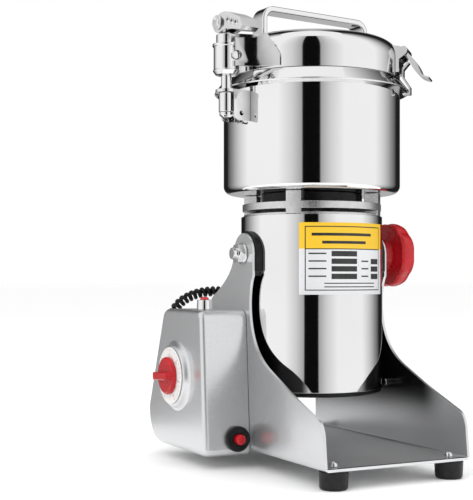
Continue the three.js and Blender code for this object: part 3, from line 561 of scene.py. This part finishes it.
def dimples():
    """Pressed rings along both cheeks of the cam lever, each with its centre painted dark as the shade of the
    recess.
    """
    bumps = []
    for reach, rise in ((13, 0.5), (18.5, -1.5), (24, -3.5)):
        for side in (-1, 1):
            ring = [(0, 8.95), (1.15, 8.95), (1.35, 9.5), (2.1, 9.45), (2.6, 8.8), (2.6, 8), (0, 8)]
            bump_mesh = on_axis(ring, 0.2, 32)
            for face in bump_mesh.faces:
                # The recessed centre takes the second material as a painted shade.
                if all(math.hypot(v.co.x, v.co.y) < 1.25 and v.co.z > 8.5 for v in face.verts):
                    face.material_index = 1
            turn = Matrix.Rotation(math.radians(90 * side), 4, "Y")
            place = Matrix.Translation((POST_DISTANCE, reach, CAM_Z + rise))
            bumps.append(moved(bump_mesh, ABOUT_HINGE @ place @ turn))
    return merged(*bumps)


def spring_coil():
    turns, low, high = 6, 344.2, 360.4
    steps = turns * 28
    path = [Vector((6.6 * math.cos(a), 6.6 * math.sin(a), low + (high - low) * i / steps))
            for i, a in ((i, 2 * math.pi * turns * i / steps) for i in range(steps + 1))]
    return tube_along(path, 0.8, 10)


def make_latch():
    refined("latch_lever", STEEL_SMALL, 0.3)
    refined("latch_hook", STEEL_SMALL, 0.4)
    refined("latch_bracket", STEEL_SMALL, 0.4)


# ---------- rating plate ----------
def label_rectangles():
    """Printed areas as (u0, u1, v0, v1, material index) in shares of the plate, v from the top.

    Where areas overlap, the later one is printed.
    """
    yellow, ink = 1, 2
    print_areas = [(0, 1, 0, 0.365, yellow)]
    print_areas += [(0.055, 0.945, 0.05, 0.064, ink), (0.055, 0.945, 0.36, 0.374, ink),
                    (0.055, 0.945, 0.93, 0.944, ink), (0.055, 0.065, 0.05, 0.944, ink),
                    (0.935, 0.945, 0.05, 0.944, ink)]
    print_areas += [(0.12, 0.78, 0.145, 0.185, ink), (0.22, 0.70, 0.255, 0.295, ink)]
    for row, top in enumerate((0.395, 0.5, 0.605, 0.71)):
        print_areas.append((0.31, 0.585, top, top + 0.075, ink))
        print_areas.append((0.09, 0.26, top + 0.025, top + 0.045, ink))
        if row:
            print_areas.append((0.78, 0.915, top, top + 0.075, ink))
            print_areas.append((0.64, 0.74, top + 0.025, top + 0.045, ink))
    return print_areas + [(0.24, 0.84, 0.835, 0.85, ink), (0.24, 0.84, 0.885, 0.9, ink)]


def make_rating_plate():
    areas = label_rectangles()
    u_lines = sorted({round(u, 4) for a in areas for u in a[:2]} | {round(i / 36, 4) for i in range(37)})
    v_lines = sorted({round(v, 4) for a in areas for v in a[2:4]} | {0, 1})
    bm = bmesh.new()

    def sheet(radius):
        rows = []
        for v in v_lines:
            z = LABEL_HIGH + (LABEL_LOW - LABEL_HIGH) * v
            angles = [-math.pi / 2 + LABEL_HALF * (2 * u - 1) for u in u_lines]
            rows.append([bm.verts.new((radius * math.cos(a), radius * math.sin(a), z)) for a in angles])
        return rows

    front, back = sheet(LABEL_RADIUS + 0.5), sheet(LABEL_RADIUS)
    for j in range(len(v_lines) - 1):
        for i in range(len(u_lines) - 1):
            u, v = (u_lines[i] + u_lines[i + 1]) / 2, (v_lines[j] + v_lines[j + 1]) / 2
            face = bm.faces.new((front[j][i], front[j + 1][i], front[j + 1][i + 1], front[j][i + 1]))
            bm.faces.new((back[j][i], back[j][i + 1], back[j + 1][i + 1], back[j + 1][i]))
            for u0, u1, v0, v1, index in areas:
                if u0 < u < u1 and v0 < v < v1:
                    face.material_index = index
    last_u, last_v = len(u_lines) - 1, len(v_lines) - 1
    for i in range(last_u):
        for j in (0, last_v):
            bm.faces.new((front[j][i], front[j][i + 1], back[j][i + 1], back[j][i]))
    for j in range(last_v):
        for i in (0, last_u):
            bm.faces.new((front[j][i], front[j + 1][i], back[j + 1][i], back[j][i]))
    bmesh.ops.recalc_face_normals(bm, faces=bm.faces)
    settle("rating_plate_print", bm, [FOIL, YELLOW, INK], "rating_plate")


# ---------- control box ----------
def box_outline():
    bottom = 12
    points = [(-11, bottom), (84, bottom)] + quadratic((84, bottom), (112, bottom), (113, 45), 16)
    points += eased([(113, 45), (78, BOX_TOP - 4), (72, BOX_TOP), (-2, BOX_TOP), (-6.5, BOX_TOP - 5),
                     (-14, bottom + 4), (-11, bottom)], 7, 6, closed=False)[1:-1]
    return points


def make_box_cover():
    depth = -BOX_OUTER
    shell = extruded(box_outline(), BOX_INNER, depth)
    rims = {depth: 4.4, BOX_INNER: 0.9}
    for level, radius in rims.items():
        edges = [e for e in shell.edges if all(abs(v.co.z - level) < 1e-3 for v in e.verts)]
        bmesh.ops.bevel(shell, geom=edges, offset=radius, segments=5, profile=0.5, affect="EDGES")
    outward = Matrix(((0, 0, -1, 0), (1, 0, 0, 0), (0, 1, 0, 0), (0, 0, 0, 1)))
    shell = moved(shell, outward)
    socket = extruded([(-10.3, -12.3), (10.3, -12.3), (10.3, 12.3), (-10.3, 12.3)], -130, -84)
    shell = boolean(shell, moved(socket, Matrix.Translation((INLET_X, 0, INLET_Z)) @ FORWARD), "DIFFERENCE")
    flare = [(0, -2), (34, -2), (34, 0.05), (31.4, 0.5), (29.3, 2), (28.1, 4.2), (27.2, 5.5), (26, 6), (0, 6)]
    boss = turned(eased(flare, 1.2, closed=False), 128, closed=False)
    boss = moved(boss, Matrix.Translation((BOX_OUTER + 0.5, DIAL_Y, DIAL_Z)) @ LEFTWARD)
    settle("control_box_shell", merged(shell, boss), PAINT, "control_box_cover")


def numeral(text, size):
    """A flat solid number in the XY plane, centred on the origin."""
    curve = bpy.data.curves.new("numeral", "FONT")
    curve.body, curve.size, curve.align_x, curve.align_y = text, size, "CENTER", "CENTER"
    curve.extrude, curve.resolution_u = 0.04, 2
    obj = bpy.data.objects.new("numeral", curve)
    bpy.context.scene.collection.objects.link(obj)
    bm = bmesh.new()
    bpy.context.view_layer.update()
    evaluated = obj.evaluated_get(bpy.context.evaluated_depsgraph_get())
    bm.from_mesh(evaluated.to_mesh())
    bpy.data.objects.remove(obj)
    return bm


def make_dial():
    face = DIAL_FACE + 1.2
    plate = off_axis([(5.4, DIAL_FACE), (25.5, DIAL_FACE), (25.5, face), (5.4, face)], 0.5, 128)
    marks = []
    for step in range(31):
        angle = math.radians(150 - 10 * step)
        long = step % 5 == 0
        half, inner = (0.3, 21.6) if long else (0.17, 22.6)
        outline = [(inner, -half), (24.3, -half), (24.3, half), (inner, half)]
        tick = extruded(outline, face - 0.05, face + 0.05)
        moved(tick, Matrix.Rotation(angle, 4, "Z"))
        for f in tick.faces:
            f.material_index = 2 if long else 1
        marks.append(tick)
        if long and step:
            number = moved(numeral(str(step), 2.6), Matrix.Translation((19.6 * math.cos(angle),
                           19.6 * math.sin(angle), face)) @ Matrix.Rotation(math.radians(90), 4, "Z"))
            for f in number.faces:
                f.material_index = 1
            marks.append(number)
    settle("dial_plate_print", merged(plate, *marks), [WHITE, INK, RED_INK], "dial_plate", matrix=AT_DIAL)
    start = DIAL_FACE + 1.5
    cap = on_axis([(0, start), (16.6, start), (17, start + 1), (16.7, start + 3.4), (15, start + 4.8),
                   (0, start + 4.9)], 0.8, 128)
    grip = extruded(eased([(-16, start + 3), (16, start + 3), (15.2, start + 9), (13.4, start + 10.5),
                           (-13.4, start + 10.5), (-15.2, start + 9)], 2.2, 5), -3.4, 3.4)
    lay = Matrix(((0, 0, 1, 0), (1, 0, 0, 0), (0, 1, 0, 0), (0, 0, 0, 1)))
    grip = moved(grip, Matrix.Rotation(0.06, 4, "Z") @ lay)
    settle("timer_knob_piece", merged(cap, grip), RED, "timer_knob", bevel=0.9, segments=3, matrix=AT_DIAL)
    refined("timer_body", BLACK)


def make_small_controls():
    front = BREAKER_FRONT
    at_breaker = Matrix.Translation((BREAKER_X, 0, BREAKER_Z)) @ Matrix.Rotation(math.radians(-90), 4, "X")
    disc = [(4.9, front - 4), (10.4, front - 4), (11.2, front - 3), (11.2, front - 0.3), (8, front - 0.3),
            (8, front + 24), (4.9, front + 24)]
    settle("breaker_disc", off_axis(disc, 0.5), BLACK, "breaker_body", matrix=at_breaker)
    button = [(0, front - 10), (3, front - 9.8), (4.5, front - 8.4), (4.5, front + 6), (0, front + 6)]
    settle("reset_button_cap", on_axis(button, 0.9, 64), RED, "reset_button", matrix=at_breaker)
    at_lamp, top = Matrix.Translation((LAMP_X, LAMP_Y, 0)), BOX_TOP + 0.3
    bezel = [(0, 120), (4.8, 120), (4.8, top), (6.9, top), (6.6, top + 8.6), (4.3, top + 8.6), (4.3, top + 3),
             (0, top + 3)]
    settle("lamp_bezel_piece", on_axis(bezel, 0.4, 96), STEEL, "lamp_bezel", matrix=at_lamp)
    dome = [(0, top + 3.3), (4, top + 3.3), (4, top + 9.5), (3, top + 11), (0, top + 11.6)]
    settle("lamp_lens_dome", on_axis(dome, 1.2, 64), LENS, "lamp_lens", matrix=at_lamp)


# ---------- curly cord ----------
def curve_through(points, per_span=24):
    """Points on a smooth curve through the given points, with the ends' own directions kept."""
    points = [Vector(p) for p in points]
    ends = [points[0] * 2 - points[1]] + points + [points[-1] * 2 - points[-2]]
    out = []
    for i in range(1, len(ends) - 2):
        a, b, c, d = ends[i - 1:i + 3]
        for k in range(per_span):
            t = k / per_span
            out.append(0.5 * ((2 * b) + (c - a) * t + (2 * a - 5 * b + 4 * c - d) * t * t
                              + (3 * b - a - 3 * c + d) * t ** 3))
    return out + [points[-1]]


def evenly(points, spacing):
    """The same curve with points a fixed distance apart."""
    out, carried = [points[0]], 0.0
    for a, b in zip(points, points[1:]):
        length = (b - a).length
        while carried + length >= spacing:
            a = a.lerp(b, (spacing - carried) / length)
            out.append(a)
            length, carried = (b - a).length, 0.0
        carried += length
    return out


def frames_along(points):
    """(point, side, up) along a curve without twist."""
    last = len(points) - 1
    tangents = [(points[min(i + 1, last)] - points[max(i - 1, 0)]).normalized() for i in range(len(points))]
    side = tangents[0].orthogonal().normalized()
    for point, tangent in zip(points, tangents):
        side = (side - tangent * side.dot(tangent)).normalized()
        yield point, side, tangent.cross(side)


def tube_along(path, radius, sides=12):
    bm = bmesh.new()
    rings = []
    for point, side, up in frames_along(path):
        angles = [2 * math.pi * i / sides for i in range(sides)]
        ring = [point + side * radius * math.cos(a) + up * radius * math.sin(a) for a in angles]
        rings.append([bm.verts.new(corner) for corner in ring])
    for low, high in zip(rings, rings[1:]):
        for i in range(sides):
            j = (i + 1) % sides
            bm.faces.new((low[i], low[j], high[j], high[i]))
    bm.faces.new(reversed(rings[0]))
    bm.faces.new(rings[-1])
    bmesh.ops.recalc_face_normals(bm, faces=bm.faces)
    return bm


def make_curly_cord():
    route = evenly(curve_through(CORD_ROUTE), CORD_STEP)
    total = len(route) - 1
    lead = 18
    wire = []
    for i, (point, side, up) in enumerate(frames_along(route)):
        ease = min(1.0, i / lead, (total - i) / lead)
        spin = 2 * math.pi * i * CORD_STEP / COIL_PITCH
        reach = COIL_RADIUS * ease
        wire.append(point + side * reach * math.cos(spin) + up * reach * math.sin(spin))
    length = sum((b - a).length for a, b in zip(wire, wire[1:]))
    route_length = total * CORD_STEP
    turns = route_length / COIL_PITCH
    print(f"curly cord: route {route_length:.0f} mm, wire {length:.0f} mm, {turns:.0f} turns")
    start, end = (TO_FRAME @ Vector(CORD_ROUTE[k]) for k in (3, -1))
    settle("curly_cord_coil", tube_along(wire, WIRE_RADIUS), CORD, "curly_cord",
           blend=("base", "swing_head", start, end))


# ---------- the rest of the nodes ----------
def make_others():
    plain = {
        "motor_end_cap": (BLACK, 0.4), "stator": (IRON, 0.8), "armature": (IRON, 0.8),
        "lower_bearing": (BEARING, 0.4), "upper_bearing": (BEARING, 0.4), "brush_yoke": (BLACK, 0.4),
        "cooling_fan": (BLACK, 0.3), "rotor_shaft": (BEARING, 0.3), "lower_blade": (BLADE, 0.5),
        "upper_blade": (BLADE, 0.5), "blade_nut": (BLADE, 0.5), "shaft_seal": (RUBBER, 0.5),
        "lid_gasket": (SILICONE, 0.6), "saddle_left": (BLACK, 0.5), "saddle_right": (BLACK, 0.5),
        "stop_pin_left": (STEEL_SMALL, 0.5), "stop_pin_right": (STEEL_SMALL, 0.5),
        "power_inlet": (BLACK, 0.4), "box_gland": (RUBBER, 0.4), "motor_gland": (RUBBER, 0.4),
    }
    for node, (material, width) in plain.items():
        refined(node, material, width)
    # The casting's hub takes black plastic as a painted shade for the dark gap under the bowl.
    refined("neck_casting", CAST, 0.5, second=BLACK, where=on_neck_hub)


def on_neck_hub(point):
    # Hub faces that carry the painted shade.
    return math.hypot(point.x, point.y) < NECK_SHADE_EDGE and point.z > NECK_SHADE_LOW


# ---------- studio ----------
def emitter(name, stops):
    """A card's glow by angle round the mill: stops are (degrees from the camera's side, level)."""
    material, tree, shader = new_material(name)
    tree.nodes.remove(shader)
    where, split = tree.nodes.new("ShaderNodeTexCoord"), tree.nodes.new("ShaderNodeSeparateXYZ")
    turn, size = tree.nodes.new("ShaderNodeMath"), tree.nodes.new("ShaderNodeMath")
    turn.operation, size.operation = "ARCTAN2", "ABSOLUTE"
    scale = tree.nodes.new("ShaderNodeMath")
    scale.operation, scale.inputs[1].default_value = "DIVIDE", math.pi
    ramp, glow = tree.nodes.new("ShaderNodeValToRGB"), tree.nodes.new("ShaderNodeEmission")
    elements = ramp.color_ramp.elements
    for i, (degrees, level) in enumerate(stops):
        element = elements[i] if i < 2 else elements.new(1.0)
        element.position, element.color = degrees / 180, (level, level, level, 1)
    tree.links.new(where.outputs["Object"], split.inputs["Vector"])
    tree.links.new(split.outputs["Y"], turn.inputs[0])
    tree.links.new(split.outputs["X"], turn.inputs[1])
    tree.links.new(turn.outputs[0], size.inputs[0])
    tree.links.new(size.outputs[0], scale.inputs[0])
    tree.links.new(scale.outputs[0], ramp.inputs["Fac"])
    tree.links.new(ramp.outputs["Color"], glow.inputs["Color"])
    tree.links.new(glow.outputs["Emission"], tree.nodes["Material Output"].inputs["Surface"])
    return material


def make_studio():
    world = bpy.data.worlds.new("studio")
    world.use_nodes = True
    world.node_tree.nodes["Background"].inputs["Color"].default_value = (1, 1, 1, 1)
    world.node_tree.nodes["Background"].inputs["Strength"].default_value = 1.0
    bpy.context.scene.world = world

    bm = bmesh.new()
    bmesh.ops.create_grid(bm, x_segments=1, y_segments=1, size=30)
    floor = to_object("floor", bm)
    floor.data.materials.append(surface("floor_pale", grey(0.975), grey(0.985), (0.7, 0.8), 0.0, 40,
                                        Specular_IOR_Level=0.05))

    # Soft panels round and over the set, seen only in reflections: dark behind the camera, bright at the
    # sides and dark again towards the far side. The apron carries the same pattern across the floor.
    stops = [(0, 0.004), (10.5, 0.004), (11.8, 0.42), (24, 0.72), (42, 1.0), (88, 1.0), (104, 0.7),
             (122, 0.3), (140, 0.015), (164, 0.015), (172, 0.4), (180, 0.5)]
    glow = emitter("reflector_glow", stops)
    dome = turned([(2.4, -0.02)] + [(2.4 * math.cos(e), 2.4 * math.sin(e)) for e in
                                    (math.radians(6 * k) for k in range(1, 13))], 180, closed=False)
    apron = turned([(0.34, 0.001), (2.39, 0.001)], 180, closed=False)
    for name, bm in (("reflector_dome", dome), ("reflector_apron", apron)):
        panel = to_object(name, bm)
        panel.location = AXIS
        panel.rotation_euler.z = math.radians(-90 - VIEW_AZIMUTH)
        panel.data.materials.append(glow)
        panel.visible_camera = panel.visible_diffuse = panel.visible_shadow = False
        panel.visible_transmission = False

    for name, place, size, power in (("key", (-1.3, -1.0, 1.5), 1.0, 9), ("fill", (1.5, -0.9, 1.2), 1.2, 5),
                                     ("top", (0.1, 0.2, 2.0), 1.4, 9)):
        lamp = bpy.data.lights.new(name, "AREA")
        lamp.shape, lamp.size, lamp.energy = "SQUARE", size, power
        holder = bpy.data.objects.new(name, lamp)
        bpy.context.scene.collection.objects.link(holder)
        holder.location = AXIS + Vector(place)
        aim = AXIS + Vector((0, 0, 0.2)) - holder.location
        holder.rotation_euler = aim.to_track_quat("-Z", "Y").to_euler()
        holder.visible_glossy = False
    bpy.context.scene.view_settings.view_transform = "Standard"


make_camera()
make_studio()
make_cradle()
make_feet()
make_lock_knob()
make_turned_shells()
make_handle()
make_hinge()
make_latch()
make_rating_plate()
make_box_cover()
make_dial()
make_small_controls()
make_curly_cord()
make_others()
